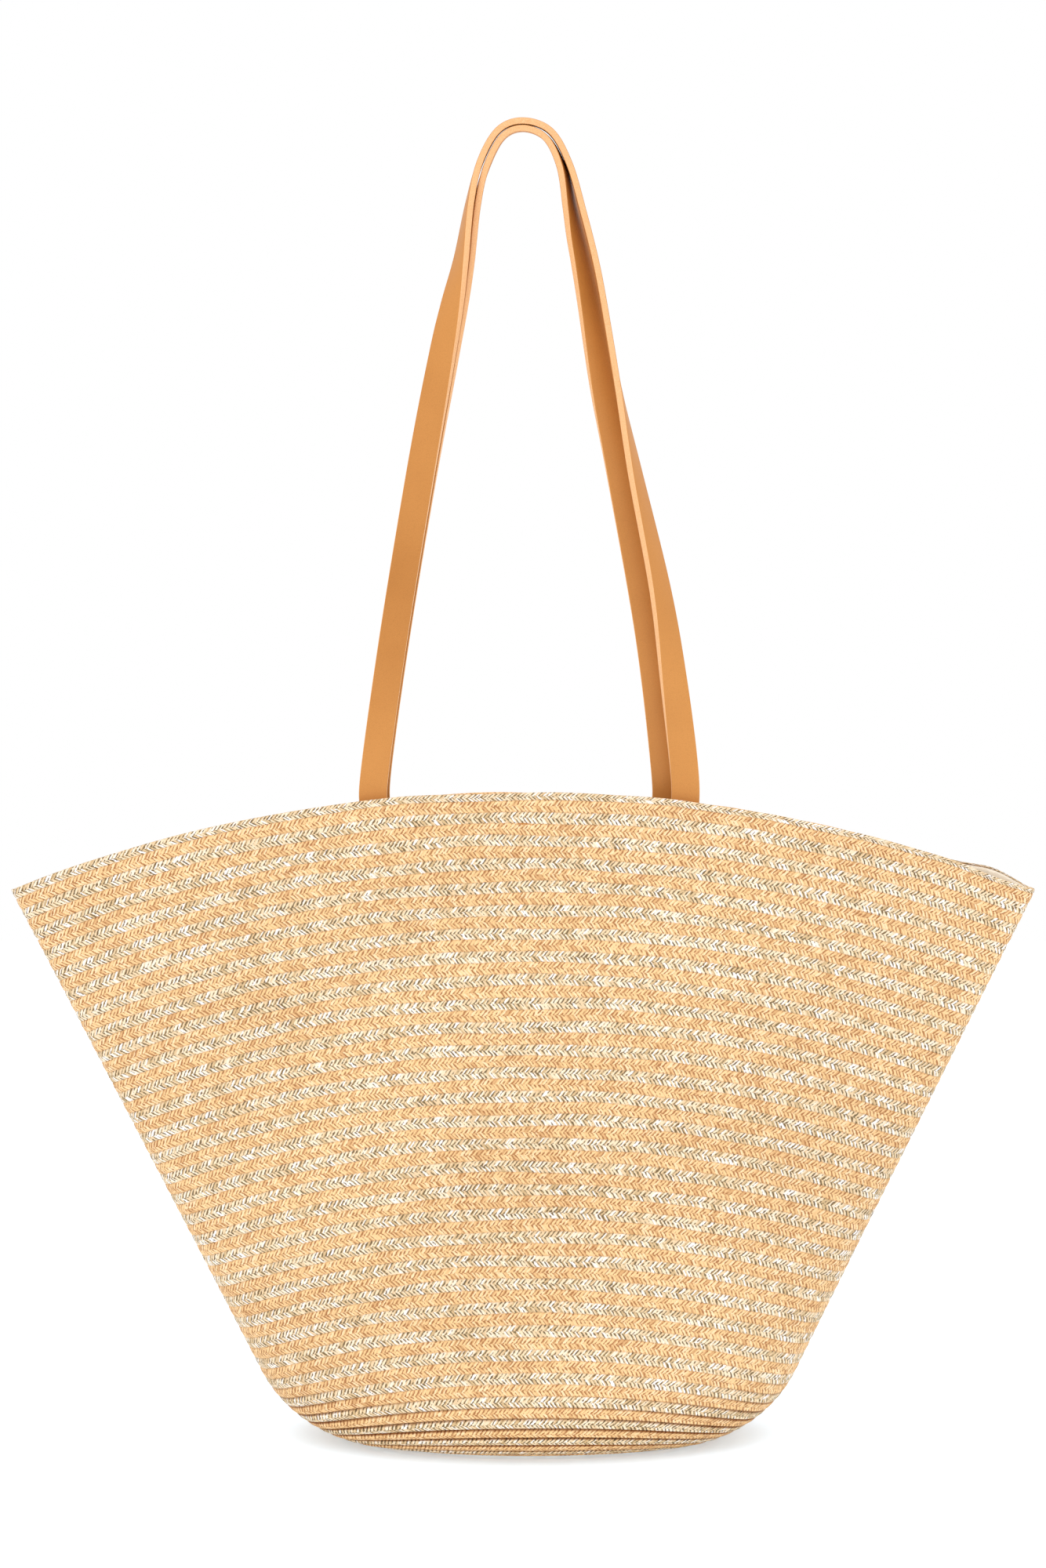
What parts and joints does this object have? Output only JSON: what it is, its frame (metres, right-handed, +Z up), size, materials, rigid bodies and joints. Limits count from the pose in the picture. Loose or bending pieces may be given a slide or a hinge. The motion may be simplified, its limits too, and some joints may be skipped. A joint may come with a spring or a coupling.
{
  "type": "beach bag",
  "caption": "Fan-shaped coiled straw tote with an oval base, a wide curved mouth and long leather shoulder straps that fold down over the rim.",
  "frame": {"origin": "on the ground, under the middle of the bag's bounding box", "axes": "+Z up, +X to the right seen from the front, -Y out of the front wall; the straps stand up along +Z at rest"},
  "size_m": [0.5478, 0.1438, 0.706],
  "materials": {
    "tan_straw": "matt plaited paper straw, warm tan",
    "light_straw": "matt plaited paper straw, cream and taupe flecks with a fine metallic strand",
    "cotton_lining": "plain-woven cream cotton",
    "leather": "smooth vegetable-tanned leather, satin, pale cut edges",
    "thread": "waxed sewing thread",
    "gold_metal": "polished pale gold plating"
  },
  "bodies": {
    "bag": {"base_tan_braid": "tan_straw", "base_light_braid": "light_straw", "bowl_tan_braid": "tan_straw", "bowl_light_braid": "light_straw", "belly_tan_braid": "tan_straw", "belly_light_braid": "light_straw", "lower_tan_braid": "tan_straw", "lower_light_braid": "light_straw", "middle_tan_braid": "tan_straw", "middle_light_braid": "light_straw", "upper_tan_braid": "tan_straw", "upper_light_braid": "light_straw", "high_tan_braid": "tan_straw", "high_light_braid": "light_straw", "rim_tan_braid": "tan_straw", "rim_light_braid": "light_straw", "lining": "cotton_lining", "lining_seam": "thread", "slip_pocket": "cotton_lining", "front_left_strap_end": "leather", "front_right_strap_end": "leather", "back_left_strap_end": "leather", "back_right_strap_end": "leather", "front_left_stitching": "thread", "front_right_stitching": "thread", "back_left_stitching": "thread", "back_right_stitching": "thread", "front_snap_patch": "leather", "back_snap_patch": "leather", "snap_socket": "gold_metal", "snap_stud": "gold_metal"},
    "front_handle": {"front_strap": "leather"},
    "back_handle": {"back_strap": "leather"}
  },
  "joints": [
    {"name": "front_strap_fold", "type": "hinge", "parent": "bag", "child": "front_handle", "pos_m": [0, -0.0077, 0.36], "axis": [1, 0, 0], "range_deg": [0, 150]},
    {"name": "back_strap_fold", "type": "hinge", "parent": "bag", "child": "back_handle", "pos_m": [0, 0.0077, 0.36], "axis": [-1, 0, 0], "range_deg": [0, 150]}
  ]
}
